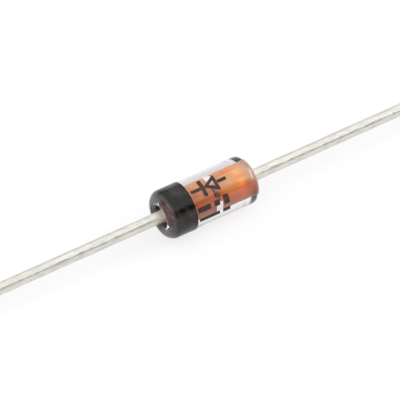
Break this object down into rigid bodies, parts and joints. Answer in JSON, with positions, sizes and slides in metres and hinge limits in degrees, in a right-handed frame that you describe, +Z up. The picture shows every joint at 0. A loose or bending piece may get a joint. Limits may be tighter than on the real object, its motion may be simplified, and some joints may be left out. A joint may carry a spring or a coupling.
{
  "type": "switching diode",
  "caption": "Axial switching diode: a clear glass sleeve fused round two copper-faced studs with the chip between them, a black cathode band and a straight wire lead at each end.",
  "frame": {"origin": "middle of the glass sleeve, on the axis of the leads", "axes": "+X along the leads from the cathode, the end with the band, to the anode; +Z up"},
  "size_m": [0.0558, 0.0018, 0.0018],
  "materials": {
    "glass": "clear, fire polished",
    "stud": "copper clad, oxidised orange by the sealing heat",
    "lead": "tin plated, satin",
    "chip": "sawn silicon",
    "bump": "plated silver",
    "band": "fired black paint, semi gloss"
  },
  "bodies": {
    "root": {"glass_sleeve": "glass", "cathode_stud": "stud", "anode_stud": "stud", "cathode_lead": "lead", "anode_lead": "lead", "silicon_chip": "chip", "contact_bump": "bump", "cathode_band": "band"}
  },
  "joints": []
}
